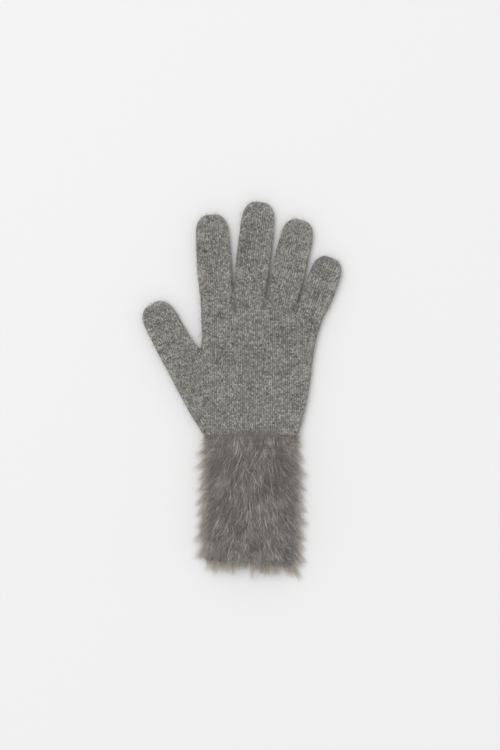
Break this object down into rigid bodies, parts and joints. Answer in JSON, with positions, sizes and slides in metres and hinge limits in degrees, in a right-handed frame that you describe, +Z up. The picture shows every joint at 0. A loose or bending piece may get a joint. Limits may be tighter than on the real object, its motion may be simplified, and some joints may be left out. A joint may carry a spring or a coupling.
{
  "type": "knit glove with fur cuff",
  "caption": "Soft hand covering lying flat: a hollow knitted hand with fingers and thumb, open at the wrist through a deep tubular fur cuff.",
  "frame": {"origin": "middle of the palm's flat underside, on the surface that the glove lies on", "axes": "+Y towards the fingertips, +X away from the thumb, +Z up out of the surface"},
  "size_m": [0.1527, 0.2915, 0.0211],
  "materials": {
    "grey_wool": "fine matte jersey knit in flecked grey yarn",
    "grey_fur": "deep soft pile in grey-brown with paler tips"
  },
  "bodies": {
    "root": {"knit_hand": "grey_wool", "fur_cuff": "grey_fur"}
  },
  "joints": []
}
